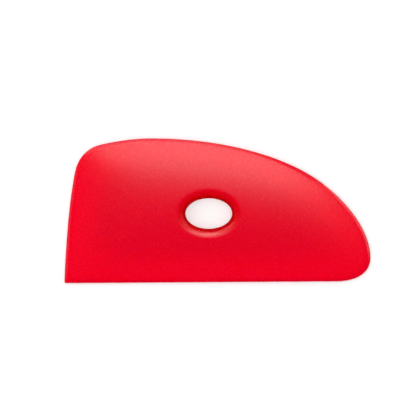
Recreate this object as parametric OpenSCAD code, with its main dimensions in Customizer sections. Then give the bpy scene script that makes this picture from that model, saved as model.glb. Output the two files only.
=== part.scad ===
// Flexible pottery rib, a hand tool that shapes and smooths clay. It is one moulded
// blade: a long straight edge, a square corner, a rounded shoulder, a sweep that falls
// to a round nose, and an oval finger hole with a rolled lip. The face is crowned and
// ends in a bevel that runs all round the rim, and the back is flat.
// X runs along the straight edge, Y across the blade and Z through its thickness.
// The origin is on the flat back, under the middle of the blade's box.

/* [Outline] */
// Length of the blade, from the square corner to the nose
blade_l = 107.95; // [98:0.05:120]
// Height of the blade, from the straight edge to the crest
blade_h = 50.8; // [44:0.1:58]
// Radius of the square corner
corner_r = 0.5; // [0.3:0.1:3]
// Last stretch of the straight edge, which turns up into the nose
toe_l = 12; // [7:0.25:16]
// Height of the nose's tip above the straight edge
nose_y = 8.3; // [6:0.1:12]
// Height above the straight edge at which the nose's upright leans over into the sweep
nose_rise = 21.95; // [17:0.05:27]
// Distance back from the nose at which the sweep's slope reaches the height of the crest
sweep_back = 38.35; // [32:0.05:46]
// Share of that slope that belongs to the nose, before the sweep begins
nose_share = 0.45; // [0.35:0.01:0.6]
// Distance of the crest from the square corner
crest_x = 30.2; // [26:0.1:38]
// Distance from the square corner at which the crest's level gives way to the sloping brow
brow_in = 22.2; // [17:0.1:25]
// Share of the brow's slope that is eased into the crest, before the shoulder turns down
brow_share = 0.57; // [0.4:0.01:0.7]
// Distance that the shoulder stands in from the square corner
shoulder_in = 5.8; // [3.5:0.1:9]
// Depth of the shoulder below the crest
shoulder_drop = 3.8; // [2:0.1:6]
// Share of the short side's slope that the rounded shoulder takes
shoulder_share = 0.37; // [0.25:0.01:0.5]
// Distance that the short side leans in by its middle, which gives it its bow
bow_in = 1.2; // [0.3:0.1:2.4]
// Height of the short side's middle
bow_y = 26.6; // [22:0.1:31]

/* [Thickness] */
// Thickness at the rim
rim_t = 1.5; // [1.2:0.1:2.2]
// Width of the bevel that runs round the face
bevel_w = 1.2; // [0.6:0.1:1.8]
// Fullness of the bevel, where 1 is flat and 2 is a quarter round
bevel_full = 1.2; // [1.1:0.1:2]
// Rounding of the back's edges, along the rim and in the finger hole
back_r = 0.4; // [0.2:0.1:0.5]
// Thickness that the crowned face reaches over the finger hole
crown_t = 3.8; // [3.2:0.1:6]

/* [Finger hole] */
// Distance of the hole's centre from the square corner, along the straight edge
hole_x = 51.05; // [42:0.05:60]
// Height of the hole's centre above the straight edge
hole_y = 24.2; // [20:0.1:29]
// Length of the hole, along the straight edge
hole_l = 16.45; // [12:0.05:24]
// Height of the hole
hole_h = 10.75; // [8:0.05:18]
// Distance that the hole's wall leans outwards on its way up to the lip
wall_in = 1.1; // [0.4:0.1:2]
// Width of the rolled lip round the hole
lip_w = 2.5; // [1:0.1:4]
// Distance that the lip rolls down from the face before it meets the wall
lip_drop = 0.9; // [0.4:0.1:1.5]

/* [Hidden] */
// Fullness of the outline's curves, where 1 would reach right into the guide corner
fullness = 0.62;
// Spacing of the points along the outline
step_l = 2.3;
// Steps in the square corner, over the bevel, the face and the lip, and round the back's edges
corner_n = 4;
bevel_n = 5;
face_n = 10;
lip_n = 6;
back_n = 3;
// Depth of the spare that the skin leaves below the back, to be cut off level
spare = 0.5;
hole = [hole_x, hole_y];

// Guide corners of the outline, and the points where its curves touch the lines between them
corner = [0, 0];
toe_guide = [blade_l, 0];
nose_guide = [blade_l, nose_rise];
sweep_guide = [blade_l - sweep_back, blade_h];
brow_guide = [brow_in, blade_h];
shoulder_guide = [shoulder_in, blade_h - shoulder_drop];
bow_guide = [bow_in, bow_y];
edge_start = [corner_r, 0];
toe = [blade_l - toe_l, 0];
nose = [blade_l, nose_y];
sweep = mix(nose_guide, sweep_guide, nose_share);
crest = [crest_x, blade_h];
brow = mix(brow_guide, shoulder_guide, brow_share);
shoulder = mix(shoulder_guide, bow_guide, shoulder_share);
side_end = bow_guide * corner_r / norm(bow_guide);

function mix(a, b, t) = a + (b - a) * t;
function sum(list) = list * [for (x = list) 1];
function steps(a, b) = ceil(norm(b - a) / step_l);

// Points after a, up to and with b, on a straight line
function line(a, b) = [for (i = [1:steps(a, b)]) mix(a, b, i / steps(a, b))];

// Points after a, up to and with b, on a curve that is pulled towards the guide corner g
function turn(a, g, b, n) = let (p = mix(a, g, fullness), q = mix(b, g, fullness)) [
    for (i = [1:n])
        let (t = i / n, s = 1 - t)
        s * s * s * a + 3 * s * s * t * p + 3 * s * t * t * q + t * t * t * b
];

rim = concat(
    line(edge_start, toe),
    turn(toe, toe_guide, nose, steps(toe, nose)),
    turn(nose, nose_guide, sweep, steps(nose, sweep)),
    turn(sweep, sweep_guide, crest, steps(sweep, crest)),
    turn(crest, brow_guide, brow, steps(crest, brow)),
    turn(brow, shoulder_guide, shoulder, steps(brow, shoulder)),
    turn(shoulder, bow_guide, side_end, steps(shoulder, side_end)),
    turn(side_end, corner, edge_start, corner_n)
);
rim_count = len(rim);

// Depth of a point inside the rim. It is pi over the sum of (piece of rim) / (distance to it) squared,
// so it equals the distance to a straight rim and is smooth, without creases, over the whole blade.
function depth(p) = 180 / sum([
    for (i = [0:rim_count - 1])
        let (a = rim[i] - p, b = rim[(i + 1) % rim_count] - p, area = cross(a, b))
        atan2(area, a * b) * norm(b - a) / area
]);

// Distance from rim point p along the direction u at which the depth is d, from a first guess s
function inset(p, u, d, s, tries = 3) =
    tries == 0 ? s : inset(p, u, d, s * d / depth(p + u * s), tries - 1);

// Point at which the ray from the hole's centre to p crosses the oval that stands w outside the hole
function oval(p, w) = let (ray = p - hole, a = hole_l / 2 + w, b = hole_h / 2 + w)
    hole + ray / norm([ray.x / a, ray.y / b]);

// Height of the face at a depth d: the bevel rises from half the rim's thickness, and the crown
// rises evenly with the depth
crown_slope = (crown_t - rim_t) / depth(hole);
function bevel_rise(x) = rim_t / 2 * pow(1 - pow(1 - x, bevel_full), 1 / bevel_full);
function face_z(d) = rim_t / 2 + bevel_rise(min(d / bevel_w, 1)) + crown_slope * d;
function on_face(p) = [p.x, p.y, face_z(depth(p))];

// Turning angles of the back's rounding, and how far in and how high it is at such an angle
back_turns = [for (j = [0:back_n]) 90 * j / back_n];
function back_in(turned) = back_r * (1 - cos(turned));
function back_z(turned) = back_r * (1 - sin(turned));

// Row of plan points that lies at a depth d inside the rim
function row(d) = [for (p = rim) let (u = (hole - p) / norm(hole - p)) p + u * inset(p, u, d, d)];
bevel_end = row(bevel_w);

// Rings of points, from below the back's outer edge over the rim, the face and the lip to below the hole
back_rings = [
    [for (p = row(back_r)) [p.x, p.y, -spare]],
    for (j = [back_n:-1:1])
        [for (p = row(back_in(back_turns[j]))) [p.x, p.y, back_z(back_turns[j])]]
];
side_rings = [
    [for (p = rim) [p.x, p.y, back_r]],
    [for (p = rim) [p.x, p.y, rim_t / 2]]
];
bevel_rings = [
    for (j = [1:bevel_n])
        [for (p = row(bevel_w * (1 - cos(90 * j / bevel_n)))) on_face(p)]
];
face_rings = [
    for (j = [1:face_n])
        [for (p = bevel_end) on_face(mix(p, oval(p, wall_in + lip_w), j / face_n))]
];
lip_rings = [
    for (j = [1:lip_n])
        [
            for (p = bevel_end)
                let (t = j / lip_n, q = on_face(oval(p, wall_in + lip_w * (1 - t))))
                [q.x, q.y, q.z - lip_drop * t * t]
        ]
];
hole_rings = [
    for (turned = back_turns)
        [for (p = bevel_end) let (q = oval(p, back_in(turned))) [q.x, q.y, back_z(turned)]],
    [for (p = bevel_end) let (q = oval(p, back_r)) [q.x, q.y, -spare]]
];
rings = concat(back_rings, side_rings, bevel_rings, face_rings, lip_rings, hole_rings);

// Closed skin over rings of points, where the last ring joins the first
module ring_skin(rings) {
    m = len(rings);
    n = len(rings[0]);
    faces = [
        for (j = [0:m - 1], i = [0:n - 1])
            let (k = (j + 1) % m, l = (i + 1) % n)
            each [
                [j * n + i, k * n + i, k * n + l],
                [j * n + i, k * n + l, j * n + l]
            ]
    ];
    polyhedron([for (ring = rings) each ring], faces, convexity = 6);
}

// The whole tool: blade, bevelled rim and lipped finger hole, moulded in one
module rib() {
    color([0.86, 0.02, 0.06])
        translate([-blade_l / 2, -blade_h / 2, 0])
            difference() {
                ring_skin(rings);
                translate([0, 0, -2 * spare])
                    cube([blade_l, blade_h, 2 * spare]);
            }
}

rib();
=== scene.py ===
# %% [markdown]
# # A flexible pottery rib
# A rib is the tool that a potter presses against turning clay to thin, curve and smooth it.
# This one is a single moulded blade of soft red polymer with an oval finger hole. The script
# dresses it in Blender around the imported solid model, which is loaded first and never moves.
# The blade is measured in millimetres here, and MM turns them into the metres of the scene.

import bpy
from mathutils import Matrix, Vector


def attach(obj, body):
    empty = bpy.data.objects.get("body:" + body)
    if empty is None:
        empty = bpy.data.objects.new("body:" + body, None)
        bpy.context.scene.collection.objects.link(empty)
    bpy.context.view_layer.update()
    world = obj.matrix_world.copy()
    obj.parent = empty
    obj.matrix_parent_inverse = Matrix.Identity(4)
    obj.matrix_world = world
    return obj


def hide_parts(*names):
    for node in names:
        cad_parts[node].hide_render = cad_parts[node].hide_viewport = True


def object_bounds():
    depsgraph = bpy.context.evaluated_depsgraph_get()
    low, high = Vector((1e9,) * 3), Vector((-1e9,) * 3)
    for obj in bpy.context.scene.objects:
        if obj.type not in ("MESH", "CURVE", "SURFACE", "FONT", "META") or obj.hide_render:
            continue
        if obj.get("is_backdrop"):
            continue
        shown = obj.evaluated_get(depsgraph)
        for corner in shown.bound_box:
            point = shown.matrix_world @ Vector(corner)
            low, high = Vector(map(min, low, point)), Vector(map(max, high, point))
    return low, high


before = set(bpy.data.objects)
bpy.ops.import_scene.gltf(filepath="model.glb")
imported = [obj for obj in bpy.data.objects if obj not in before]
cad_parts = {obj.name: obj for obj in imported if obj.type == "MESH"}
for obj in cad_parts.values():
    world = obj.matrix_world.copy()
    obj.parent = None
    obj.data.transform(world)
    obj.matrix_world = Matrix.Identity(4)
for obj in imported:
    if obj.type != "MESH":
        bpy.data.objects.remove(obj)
cad_low, cad_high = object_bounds()
MM = 0.001


def print_size(title, low, high):
    print(title, "mm:", [round((b - a) / MM, 2) for a, b in zip(low, high)])


print_size("solid model,", cad_low, cad_high)

# %% [markdown]
# ## The camera
# The tool is looked at from straight above, through a long lens, so its outline shows with
# hardly any perspective. It could be an orthographic camera, but a long lens keeps the small
# change of view across the blade, and gloss depends on that. The blade lies a little over a
# third of a degree askew in the picture, so the camera is rolled by that much instead of it.

# %% Set up the camera
import math

import bpy
from mathutils import Matrix, Vector

view_width = 148.05 * MM  # what the square picture spans at the height of the rim
view_centre = Vector((-2.47, 0.05)) * MM
askew = math.radians(0.37)
rim_t = 1.5 * MM  # thickness at the blade's rim

camera_data = bpy.data.cameras.new("overhead_lens")
camera_data.lens = 135
camera_data.sensor_width = 36
camera = bpy.data.objects.new("overhead_camera", camera_data)
view_height = view_width * camera_data.lens / camera_data.sensor_width
camera.location = (*view_centre, rim_t / 2 + view_height)
camera.rotation_euler = (0, 0, -askew)

scene = bpy.context.scene
scene.collection.objects.link(camera)
scene.camera = camera
scene.view_settings.view_transform = "Standard"
print("camera height, mm:", round(camera.location.z / MM, 1))

# %% [markdown]
# ## The outline
# The real blade was drawn as a few lines and easy curves: a long straight edge, a square
# corner, a bowed short side, a rounded shoulder, a crest, a sweep and a round nose. Each curve
# starts along one guide line and ends along the next, and is pulled towards the corner where
# the two lines meet. That takes far fewer numbers than points traced along the edge, and the
# curves join without a kink because neighbours share a guide line. Lengths along the blade
# are counted from the square corner, and heights from the straight edge.

# %% Name the sizes of the outline
blade_l = 2 * cad_high.x  # the nose and the crest touch the box, and its middle is the blade's
blade_h = 2 * cad_high.y
corner_r = 0.5 * MM
toe_l = 12 * MM  # last stretch of the straight edge, which turns up into the nose
nose_y = 8.3 * MM  # height of the nose's tip
nose_rise = 21.95 * MM  # height at which the nose's upright leans over into the sweep
sweep_back = 38.35 * MM  # how far back from the nose that slope reaches the crest's height
nose_share = 0.45  # share of that slope that belongs to the nose
crest_x = 30.2 * MM
brow_in = 22.2 * MM  # where the crest's level gives way to the sloping brow
brow_share = 0.57  # share of the brow's slope that is eased into the crest
shoulder_in = 5.8 * MM
shoulder_drop = 3.8 * MM  # how far below the crest the shoulder turns down
shoulder_share = 0.37  # share of the short side's slope that the shoulder takes
bow_in = 1.2 * MM  # how far the short side leans in by its middle
bow_y = 26.6 * MM  # height of the short side's middle
print("blade, mm:", round(blade_l / MM, 2), "by", round(blade_h / MM, 2))

# %% Place the guide corners, and the points where curves touch the lines between them
corner_guide = Vector((0, 0))
toe_guide = Vector((blade_l, 0))
nose_guide = Vector((blade_l, nose_rise))
sweep_guide = Vector((blade_l - sweep_back, blade_h))
brow_guide = Vector((brow_in, blade_h))
shoulder_guide = Vector((shoulder_in, blade_h - shoulder_drop))
bow_guide = Vector((bow_in, bow_y))

edge_start = Vector((corner_r, 0))
toe = Vector((blade_l - toe_l, 0))
nose = Vector((blade_l, nose_y))
sweep = nose_guide.lerp(sweep_guide, nose_share)
crest = Vector((crest_x, blade_h))
brow = brow_guide.lerp(shoulder_guide, brow_share)
shoulder = shoulder_guide.lerp(bow_guide, shoulder_share)
side_end = bow_guide.normalized() * corner_r
print("the nose gives way to the sweep at, mm:", [round(v / MM, 1) for v in sweep])

# %% Draw the outline
fullness = 0.62  # how far a curve is pulled into its guide corner, where 1 is all the way
point_gap = 0.62 * MM  # spacing of points along the rim
corner_gap = corner_r / 8  # their spacing in the small square corner


def shares(n):
    """The ends of n equal steps from 0 to 1."""
    return [i / n for i in range(1, n + 1)]


def steps(a, b, gap=point_gap):
    return math.ceil((b - a).length / gap)


def line(a, b):
    """Points after a, up to b, on a straight line."""
    return [a.lerp(b, t) for t in shares(steps(a, b))]


def turn(a, guide, b, gap=point_gap):
    """Points after a, up to b, on a curve that is pulled towards the guide corner."""
    p, q = a.lerp(guide, fullness), b.lerp(guide, fullness)
    points = []
    for t in shares(steps(a, b, gap)):
        s = 1 - t
        points.append(s**3 * a + 3 * s * s * t * p + 3 * s * t * t * q + t**3 * b)
    return points


rim = (
    line(edge_start, toe)
    + turn(toe, toe_guide, nose)
    + turn(nose, nose_guide, sweep)
    + turn(sweep, sweep_guide, crest)
    + turn(crest, brow_guide, brow)
    + turn(brow, shoulder_guide, shoulder)
    + turn(shoulder, bow_guide, side_end)
    + turn(side_end, corner_guide, edge_start, corner_gap)
)
middle = Vector((blade_l, blade_h)) / 2
rim = [p - middle for p in rim]
rim_count = len(rim)
print("points on the rim:", rim_count)

# %% [markdown]
# ## The net
# The blade's skin is one closed net: rows that follow the rim, and columns that run from the
# rim over the face, down through the finger hole and back under the blade. Here it is laid out
# flat, as seen from above, and a node tree raises it afterwards. Rows crowd together where the
# real surface turns quickly: over the bevel, on the rolled lip of the hole and round the back's
# edges. A row of points comes from the rim in one of three ways: it is moved in from the rim,
# it lies on an oval round the hole, or it lies between two other rows.

# %% Place a row of points
hole_x = 51.05 * MM
hole_y = 24.2 * MM
hole_l = 16.45 * MM
hole_h = 10.75 * MM
least_inward = 0.3  # a ray that runs almost along the rim counts as this steep
hole = Vector((hole_x, hole_y)) - middle


def inset_step(i):
    """The move from rim point i towards the hole that goes 1 m in from the rim."""
    along = (rim[(i + 1) % rim_count] - rim[i - 1]).normalized()
    inward = Vector((-along.y, along.x))
    ray = (hole - rim[i]).normalized()
    return ray / max(ray.dot(inward), least_inward)


def inset_row(d):
    return [p + inset_step(i) * d for i, p in enumerate(rim)]


def oval_row(w):
    """Where rays from the hole's centre to the rim cross the oval that stands w off the hole."""
    row = []
    for p in rim:
        ray = p - hole
        in_radii = Vector((ray.x / (hole_l / 2 + w), ray.y / (hole_h / 2 + w)))
        row.append(hole + ray / in_radii.length)
    return row


def between(a, b, t):
    """The row that lies a share t of the way from row a to row b."""
    return [p.lerp(q, t) for p, q in zip(a, b)]


print("middle of the hole, mm:", [round(v / MM, 2) for v in hole])

# %% [markdown]
# Each row also says how its height is mixed from four levels, which the tree works out later:
# face is the crowned face, drop is the full depth of the rolled lip, edge is the top of the
# back's rounding and back is the table. One more share says how far down the lip a row lies,
# and is kept for the painted shade of the lip's deeper red.

# %% Lay out the rows of the net
wall_in = 1.1 * MM  # how far the hole's wall leans outwards on its way up to the lip
lip_w = 2.5 * MM
bevel_w = 1.2 * MM  # width of the bevel round the face
back_r = 0.4 * MM  # rounding of the back's edges, at the rim and in the hole

# How many rows each stretch gets
bevel_rows, face_rows, lip_rows, wall_rows, edge_rows, back_rows = 12, 36, 14, 6, 6, 12


def quarter(n):
    """The ends of n equal steps over a quarter turn."""
    return [math.pi / 2 * j / n for j in range(1, n + 1)]


rows = []


def lay(points, **levels):
    """Adds a row to the net, with its shares of the levels."""
    rows.append((points, levels))


bevel_end = inset_row(bevel_w)
lip_start = oval_row(wall_in + lip_w)
wall_top = oval_row(wall_in)
wall_foot = oval_row(0)
lay(rim, face=1)
for a in quarter(bevel_rows):
    lay(inset_row(bevel_w * (1 - math.cos(a))), face=1)
for t in shares(face_rows):
    lay(between(bevel_end, lip_start, t), face=1)
for t in shares(lip_rows):
    lay(between(lip_start, wall_top, t), face=1, drop=t * t, roll=t)
for t in shares(wall_rows):
    lay(between(wall_top, wall_foot, t), face=1 - t, drop=1 - t, edge=t, roll=1)
for a in quarter(edge_rows):
    lay(oval_row(back_r * (1 - math.cos(a))), edge=1 - math.sin(a), back=math.sin(a))
for t in shares(back_rows):
    lay(between(oval_row(back_r), inset_row(back_r), t), back=1)
for a in reversed(quarter(edge_rows)[:-1]):
    lay(inset_row(back_r * (1 - math.cos(a))), edge=1 - math.sin(a), back=math.sin(a))
lay(rim, edge=1)
print("rows in the net:", len(rows))

# %% Tie the net's rows into faces
LEVELS = ("face", "drop", "edge", "back")


def make_net(name):
    points = [(p.x, p.y, 0) for row, _ in rows for p in row]
    faces = []
    for j in range(len(rows)):
        k = (j + 1) % len(rows)
        for i in range(rim_count):
            n = (i + 1) % rim_count
            corners = ((j, i), (j, n), (k, n), (k, i))
            faces.append([row * rim_count + point for row, point in corners])
    mesh = bpy.data.meshes.new(name)
    mesh.from_pydata(points, [], faces)
    for level in (*LEVELS, "roll"):
        share = mesh.attributes.new(level, "FLOAT", "POINT")
        share.data.foreach_set("value", [w.get(level, 0.0) for row, w in rows for _ in row])
    net = bpy.data.objects.new(name, mesh)
    scene.collection.objects.link(net)
    return net


net = make_net("flat_net")
print("net:", len(net.data.vertices), "points,", len(net.data.polygons), "faces")

# %% [markdown]
# ## Arithmetic on sockets
# Node trees do a lot of sums. Written node by node they can't be read, so this small class
# wraps a socket: adding or multiplying two wires makes the Math node and links it. The same
# class serves the shape's tree and the material's tree, because both use the same Math node.

# %% A wire that does sums
class Wire:
    """An output socket of a tree. Arithmetic on wires adds Math nodes."""

    def __init__(self, tree, socket):
        self.tree = tree
        self.socket = socket

    def math(self, operation, *others):
        values = dict(enumerate((self, *others)))
        return add(self.tree, "ShaderNodeMath", {"operation": operation}, values)

    def __add__(self, other):
        return self.math("ADD", other)

    def __sub__(self, other):
        return self.math("SUBTRACT", other)

    def __rsub__(self, other):
        return self.math("MULTIPLY", -1) + other

    def __mul__(self, other):
        return self.math("MULTIPLY", other)

    def __pow__(self, other):
        return self.math("POWER", other)

    def __truediv__(self, other):
        return self.math("DIVIDE", other)

    def __rtruediv__(self, other):
        return self.math("POWER", -1) * other

    __radd__ = __add__
    __rmul__ = __mul__


# %% A way to add nodes
def fill(tree, node, values):
    """Gives the sockets of a node, by name or number, their values or wires."""
    shown = [s for s in node.inputs if s.enabled]
    for key, value in values.items():
        socket = shown[key] if isinstance(key, int) else next(s for s in shown if s.name == key)
        if isinstance(value, Wire):
            tree.links.new(value.socket, socket)
        else:
            socket.default_value = value


def add(tree, kind, settings=None, values=None):
    """Adds a node. Its settings come first, then values or wires for its sockets. Returns its
    only output, or all of them by name."""
    node = tree.nodes.new(kind)
    for name, setting in (settings or {}).items():
        if name == "stops":
            for stop, (place, colour) in zip(node.color_ramp.elements, setting):
                stop.position, stop.color = place, (*colour, 1)
        else:
            setattr(node, name, setting)
    fill(tree, node, values or {})
    outputs = {s.name: Wire(tree, s) for s in node.outputs if s.enabled}
    return outputs if len(outputs) > 1 else next(iter(outputs.values()), None)


# %% [markdown]
# ## Raising the crown
# The real blade is thickest round the finger hole and thins out to a bevelled rim. A crown
# could be raised from the plain distance to the rim, but that makes ridges that run into every
# corner. Here the depth of a point is pi divided by the sum, over the whole rim, of each short
# piece of rim over its squared distance. Close to a straight edge that is the true distance,
# and further in it rounds off smoothly, as a hand-finished master does. The tree starts with
# a named input for each size that the heights depend on.

# %% Start the tree with its named inputs
crown_t = 3.8 * MM  # thickness that the face reaches over the middle of the hole
bevel_full = 1.2  # how full the bevel is, where 1 is flat and 2 is a quarter round
lip_drop = 0.9 * MM  # how far the lip rolls down before it meets the wall


def start_tree(name, sizes):
    """A geometry tree that takes a net, those sizes and a material, and gives a blade."""
    tree = bpy.data.node_groups.new(name, "GeometryNodeTree")
    sockets = tree.interface
    sockets.new_socket("Net", in_out="INPUT", socket_type="NodeSocketGeometry")
    for size, (kind, value) in sizes.items():
        sockets.new_socket(size, in_out="INPUT", socket_type=kind).default_value = value
    sockets.new_socket("Material", in_out="INPUT", socket_type="NodeSocketMaterial")
    sockets.new_socket("Blade", in_out="OUTPUT", socket_type="NodeSocketGeometry")
    return tree


crown_sizes = {
    "Rim Points": ("NodeSocketInt", rim_count),
    "Hole Centre": ("NodeSocketVector", (*hole, 0)),
    "Rim Thickness": ("NodeSocketFloat", rim_t),
    "Bevel Width": ("NodeSocketFloat", bevel_w),
    "Bevel Fullness": ("NodeSocketFloat", bevel_full),
    "Crown Thickness": ("NodeSocketFloat", crown_t),
    "Lip Drop": ("NodeSocketFloat", lip_drop),
    "Back Edge": ("NodeSocketFloat", back_r),
}
crown = start_tree("raise_crown", crown_sizes)
given = add(crown, "NodeGroupInput")
here = add(crown, "GeometryNodeInputPosition")
print("sizes that the tree takes:", ", ".join(crown_sizes))

# %% [markdown]
# A piece of rim pulls at a point with its length over its squared distance. Along a straight
# piece that sum is exact: the angle that the piece fills as seen from the point, over the
# distance to the line it lies on. The cross product over the piece's length is that distance.

# %% Measure the pull of one piece of rim
def vector(operation, a, b):
    return add(crown, "ShaderNodeVectorMath", {"operation": operation}, {0: a, 1: b})


def pull(start, end, seen_from):
    """The straight piece of rim from start to end, over its squared distance from a point."""
    a = vector("SUBTRACT", start, seen_from)
    b = vector("SUBTRACT", end, seen_from)
    cross = add(crown, "ShaderNodeSeparateXYZ", values={0: vector("CROSS_PRODUCT", a, b)})["Z"]
    angle = cross.math("ARCTAN2", vector("DOT_PRODUCT", a, b))
    return angle * vector("DISTANCE", start, end) / cross


def rim_point(index):
    """Where the net's point of that number lies. The first row of the net is the rim."""
    values = {"Geometry": given["Net"], "Value": here, "Index": index}
    return add(crown, "GeometryNodeSampleIndex", {"data_type": "FLOAT_VECTOR"}, values)


def stored(name):
    settings = {"data_type": "FLOAT"}
    return add(crown, "GeometryNodeInputNamedAttribute", settings, {"Name": name})["Attribute"]


def store(geometry, name, value):
    values = {"Geometry": geometry, "Name": name, "Value": value}
    return add(crown, "GeometryNodeStoreNamedAttribute", values=values)


# %% [markdown]
# A repeat zone walks once round the rim. At each step it adds the pull of one more piece, for
# every point of the net and for the middle of the hole, where the crown's thickness is known.
# Its two ends have to be paired before they get their sockets, so they don't come from add.

# %% Walk round the rim
zone = crown.nodes.new("GeometryNodeRepeatInput")
zone_end = crown.nodes.new("GeometryNodeRepeatOutput")
zone.pair_with_output(zone_end)
zone_end.repeat_items.new("FLOAT", "Pull At Hole")
fill(crown, zone, {"Iterations": given["Rim Points"], "Geometry": given["Net"]})

count = Wire(crown, zone.outputs["Iteration"])
start = rim_point(count)
end = rim_point((count + 1).math("MODULO", given["Rim Points"]))
pull_here = stored("pull") + pull(start, end, here)
pull_at_hole = Wire(crown, zone.outputs["Pull At Hole"]) + pull(start, end, given["Hole Centre"])
walked = store(Wire(crown, zone.outputs["Geometry"]), "pull", pull_here)
fill(crown, zone_end, {"Geometry": walked, "Pull At Hole": pull_at_hole})
print("nodes for the walk:", len(crown.nodes))

# %% [markdown]
# Pi over the pull is the depth, and depth becomes height: the bevel climbs from half the rim's
# thickness, and the crown rises evenly with depth. The points of the rim itself have no depth.
# The thickness at each point is stored too, because the painted glow of light through thin
# polymer follows it.

# %% Turn depth into height
least_pull = 1e-6  # keeps the division safe

inside = add(crown, "GeometryNodeInputIndex").math("GREATER_THAN", given["Rim Points"] - 0.5)
depth = inside * math.pi / stored("pull").math("MAXIMUM", least_pull)
hole_depth = math.pi / Wire(crown, zone_end.outputs["Pull At Hole"])
slope = (given["Crown Thickness"] - given["Rim Thickness"]) / hole_depth
half = given["Rim Thickness"] / 2
full = given["Bevel Fullness"]
left = 1 - (depth / given["Bevel Width"]).math("MINIMUM", 1)
face_z = half + half * (1 - left**full) ** (1 / full) + slope * depth
low_z = stored("edge") * given["Back Edge"] - stored("drop") * given["Lip Drop"]
height = stored("face") * face_z + low_z
thickness = height + stored("back") * face_z

# %% Move the points and finish the mesh
plan = add(crown, "ShaderNodeSeparateXYZ", values={0: here})
place = add(crown, "ShaderNodeCombineXYZ", values={0: plan["X"], 1: plan["Y"], 2: height})
shape = store(Wire(crown, zone_end.outputs["Geometry"]), "thickness", thickness)
shape = add(crown, "GeometryNodeSetPosition", values={"Geometry": shape, "Position": place})
for name in ("pull", *LEVELS):
    values = {"Geometry": shape, "Name": name}
    shape = add(crown, "GeometryNodeRemoveAttribute", values=values)
shape = add(crown, "GeometryNodeSetShadeSmooth", values={"Geometry": shape})
shape = add(crown, "GeometryNodeRealizeInstances", values={"Geometry": shape})
values = {"Geometry": shape, "Material": given["Material"]}
shape = add(crown, "GeometryNodeSetMaterial", values=values)
add(crown, "NodeGroupOutput", values={0: shape})
print("nodes in the tree:", len(crown.nodes))

# %% [markdown]
# ## The polymer
# The rib is cast in a soft, slightly see-through red polymer with a fine matte grain. Thin
# parts let more light through and glow a brighter red than the thick middle, and that glow is
# painted into the colour, following the thickness that the tree stored on the mesh. Inside the
# lip a deeper red ring is painted as shade, for light that bounces from red to red there, and
# the share down the lip mixes it in. Subsurface scattering carries red light about two
# millimetres through the polymer, so a shaded place stays red and doesn't go dark. The grain
# is noise that reads Object coordinates, so it has its real scale and stays put from every side.

# %% Name the polymer's colours and grain
# The red for thin parts carries painted glow, for light that passes through thin polymer; the
# red for the thick middle is the polymer's own.
thin_glow_red = (0.98, 0.0, 0.02)
thick_red = (0.8, 0.0, 0.019)
# The deep red is painted shade inside the lip.
shaded_lip_red = (0.71, 0.0, 0.003)  # inside the lip
thin_end, thick_end = 1.7 * MM, 3.4 * MM  # the tint changes between these thicknesses
mottle_size = 1.1 * MM
mottle_share = 0.05  # at most, of the way from the thin red to the thick one
satin = 0.27  # mean roughness
satin_size = 0.5 * MM
satin_range = 0.12  # at most, from the smoothest spots to the roughest
grain_size = 0.32 * MM
grain_height = 0.02 * MM
scatter_length = 2.0 * MM

# %% Make the polymer
def make_polymer():
    material = bpy.data.materials.new("soft_red_polymer")
    material.use_nodes = True
    tree = material.node_tree
    tree.nodes.clear()
    place = add(tree, "ShaderNodeTexCoord")["Object"]

    def grain(size, detail=2.0):
        """Noise with features of about that size."""
        settings = {"noise_dimensions": "3D"}
        values = {"Vector": place, "Scale": 1 / size, "Detail": detail, "Roughness": 0.5}
        return add(tree, "ShaderNodeTexNoise", settings, values)["Fac"]

    def on_mesh(name):
        """The number of that name that the net's tree left on the mesh."""
        return add(tree, "ShaderNodeAttribute", {"attribute_name": name})["Fac"]

    smooth = {"interpolation_type": "SMOOTHSTEP"}
    # The thickness sets how much painted glow of light through thin polymer the colour gets; the
    # mottle is the polymer's own uneven tone.
    values = {"Value": on_mesh("thickness"), "From Min": thin_end, "From Max": thick_end}
    thick = add(tree, "ShaderNodeMapRange", smooth, values)
    mottle = (grain(mottle_size) - 0.5) * mottle_share
    stops = {"stops": ((0.0, thin_glow_red), (1.0, thick_red))}
    glow_tint = add(tree, "ShaderNodeValToRGB", stops, {0: thick + mottle})["Color"]
    # The share down the lip mixes in the painted shade of the deeper red.
    values = {"Factor": on_mesh("roll"), "A": glow_tint, "B": (*shaded_lip_red, 1)}
    tint = add(tree, "ShaderNodeMix", {"data_type": "RGBA"}, values)
    values = {"Strength": 0.25, "Distance": grain_height, "Height": grain(grain_size, 3.0)}
    bumps = add(tree, "ShaderNodeBump", values=values)
    values = {
        "Base Color": tint,
        "Roughness": satin + (grain(satin_size) - 0.5) * satin_range,
        "IOR": 1.5,
        "Subsurface Weight": 0.7,
        "Subsurface Radius": (1.0, 0.08, 0.08),
        "Subsurface Scale": scatter_length,
        "Normal": bumps,
    }
    surface = add(tree, "ShaderNodeBsdfPrincipled", values=values)
    add(tree, "ShaderNodeOutputMaterial", values={"Surface": surface})
    return material


polymer = make_polymer()
print("nodes in the polymer:", len(polymer.node_tree.nodes))

# %% [markdown]
# ## The finished blade
# The tree hangs on the net as a modifier. Its result is copied out as a plain mesh, because
# only a plain mesh is exported as it looks. It then stands for the solid model's blade.

# %% Raise the net and hand it over
def raised_copy(source, tree, name, material):
    """Runs the tree on the source and returns its result as a plain mesh object."""
    modifier = source.modifiers.new("crown", "NODES")
    modifier.node_group = tree
    for item in tree.interface.items_tree:
        if item.in_out == "INPUT" and item.name == "Material":
            modifier[item.identifier] = material
    depsgraph = bpy.context.evaluated_depsgraph_get()
    mesh = bpy.data.meshes.new_from_object(source.evaluated_get(depsgraph))
    mesh.name = name
    made = bpy.data.objects.new(name, mesh)
    scene.collection.objects.link(made)
    bpy.data.objects.remove(source)
    return made


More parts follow.
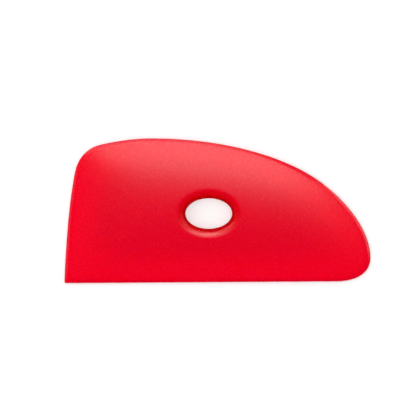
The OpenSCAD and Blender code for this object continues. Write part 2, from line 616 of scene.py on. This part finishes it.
blade = raised_copy(net, crown, "rib_blade", polymer)
heights = [v.co.z / MM for v in blade.data.vertices]
print("blade height, mm:", round(min(heights), 3), "to", round(max(heights), 3))
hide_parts("rib")
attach(blade, "root")

# %% [markdown]
# ## The table
# The tool lies on white paper. The camera sees the paper with a touch of light of its own, so
# it comes out as the page's white while the tool's short shadow stays, and far from the tool
# it fades into the even white of the background, as a curved sweep does. For the light that
# bounces about, the paper is a grey that throws little of it back under the blade. It is
# hidden from mirrors, because it would show in the steep wall of the hole.

# %% Lay the paper
paper_reach = 6.0  # from the middle to each edge, in metres
paper_gap = 0.02 * MM  # keeps the paper clear of the blade's flat back
page_grey = 0.96
page_glow = 0.11
bounce_grey = 0.3
fade_start, fade_end = 0.2, 0.5  # distances from the tool, in metres


def grey(level):
    return (level, level, level, 1)


def make_paper(reach):
    mesh = bpy.data.meshes.new("paper")
    corners = [(x * reach, y * reach, 0) for x, y in ((-1, -1), (1, -1), (1, 1), (-1, 1))]
    mesh.from_pydata(corners, [], [(0, 1, 2, 3)])
    material = bpy.data.materials.new("white_paper")
    material.use_nodes = True
    tree = material.node_tree
    tree.nodes.clear()
    plain = add(tree, "ShaderNodeBsdfDiffuse", values={"Color": grey(bounce_grey)})
    seen = add(tree, "ShaderNodeBsdfDiffuse", values={"Color": grey(page_grey)})
    glow = add(tree, "ShaderNodeEmission", values={"Color": grey(1), "Strength": page_glow})
    page = add(tree, "ShaderNodeAddShader", values={0: seen, 1: glow})
    white = add(tree, "ShaderNodeEmission", values={"Color": grey(1), "Strength": 1.0})
    place = add(tree, "ShaderNodeTexCoord")["Object"]
    away = add(tree, "ShaderNodeVectorMath", {"operation": "LENGTH"}, {0: place})
    values = {"Value": away, "From Min": fade_start, "From Max": fade_end}
    far = add(tree, "ShaderNodeMapRange", values=values)
    faded = add(tree, "ShaderNodeMixShader", values={0: far, 1: page, 2: white})
    by_camera = add(tree, "ShaderNodeLightPath")["Is Camera Ray"]
    mixed = add(tree, "ShaderNodeMixShader", values={0: by_camera, 1: plain, 2: faded})
    add(tree, "ShaderNodeOutputMaterial", values={"Surface": mixed})
    mesh.materials.append(material)
    paper = bpy.data.objects.new("paper", mesh)
    scene.collection.objects.link(paper)
    paper.location.z = -paper_gap
    paper.visible_glossy = False
    paper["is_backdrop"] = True


make_paper(paper_reach)
print("paper, m wide:", 2 * paper_reach)

# %% [markdown]
# ## The light
# Every lamp is a flat card that faces the tool. It is placed by the part of the sky that it
# fills, because that is what gloss shows: the bearing of its middle, clockwise from beyond the
# tool's crest, how far it leans from straight above at its nearest and furthest edge, and how
# wide it is, all in degrees. A lean below zero lies on the other side of straight above. Its
# radiance is its brightness as seen from the tool.

# %% Make a light
degree = math.radians(1)
lamp_distance = 0.9  # from the tool, in metres
ceiling_distance = 1.2


def make_light(name, bearing, near_lean, far_lean, width, radiance, distance=lamp_distance):
    """A flat light that fills that part of the sky."""
    lean = (near_lean + far_lean) / 2 * degree
    bearing *= degree
    level = math.sin(lean)
    away = Vector((level * math.sin(bearing), level * math.cos(bearing), math.cos(lean)))
    across = Vector((math.cos(bearing), -math.sin(bearing), 0))
    light = bpy.data.lights.new(name, "AREA")
    light.shape = "RECTANGLE"
    light.size = 2 * distance * math.tan(width / 2 * degree)
    light.size_y = 2 * distance * math.tan((far_lean - near_lean) / 2 * degree)
    light.energy = radiance * math.pi * light.size * light.size_y
    lamp = bpy.data.objects.new(name, light)
    turn_to = Matrix((across, away.cross(across), away)).transposed()
    lamp.matrix_world = Matrix.Translation(away * distance) @ turn_to.to_4x4()
    scene.collection.objects.link(lamp)
    print(name, "W:", round(light.energy, 2))
    return lamp


# %% [markdown]
# A strip and a softbox hang beyond the tool's crest. The strip puts a pale sheen on the slopes
# that lean that way, and the softbox draws the bright crescent on the lower lip of the hole. A
# wide, weaker window at the softbox's height draws that crescent's ends out. These three show
# in the gloss only. Three low windows, beyond the tool and at both of its ends, trace the
# bevel with a thin light line, and light the colour too.

# %% Light the gloss
for lamp in (
    make_light("strip", 6, 16, 24, 28, 5.8),
    make_light("softbox", 3, 34, 50, 30, 6.4),
    make_light("back_window", 0, 36, 52, 100, 1.5),
):
    lamp.visible_diffuse = False
make_light("low_window", -14, 60, 88, 64, 1.35)
make_light("right_window", 66, 74, 88, 50, 2.5)
make_light("left_window", -92, 74, 88, 40, 0.8)

# %% [markdown]
# The even light comes from the ceiling and four fill cards. They light the colour and are
# hidden from mirrors, because a lit ceiling would show in the whole face and wash its red out.
# Multiple Importance, which helps mirrors to find a lamp, is off for them. The front card is
# the strongest of the four, so the wall of the hole that faces it is the brighter one.

# %% Light the colour
for lamp in (
    make_light("ceiling", 0, -44, 54, 100, 1.02, ceiling_distance),
    make_light("front_fill", 180, 50, 85, 60, 1.7),
    make_light("left_fill", -90, 50, 85, 60, 1.3),
    make_light("right_fill", 90, 50, 85, 60, 0.5),
    make_light("back_fill", 0, 50, 85, 80, 0.5),
):
    lamp.visible_glossy = False
    lamp.data.cycles.use_multiple_importance_sampling = False

# %% [markdown]
# The room round it all is white, but for the camera alone. It lights nothing, so the lamps by
# themselves set the colours of the tool.

# %% Fill the room's background
world = bpy.data.worlds.new("room")
scene.world = world
world.use_nodes = True
world.node_tree.nodes.clear()
by_camera = add(world.node_tree, "ShaderNodeLightPath")["Is Camera Ray"]
values = {"Color": grey(1), "Strength": by_camera}
room = add(world.node_tree, "ShaderNodeBackground", values=values)
add(world.node_tree, "ShaderNodeOutputWorld", values={"Surface": room})
print("background:", world.name)

# %% [markdown]
# ## Sizes and finish
# The dressed blade is meant to keep the solid model's size, so its box is printed here, like
# the solid model's near the top.

low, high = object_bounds()
print_size("dressed model,", low, high)
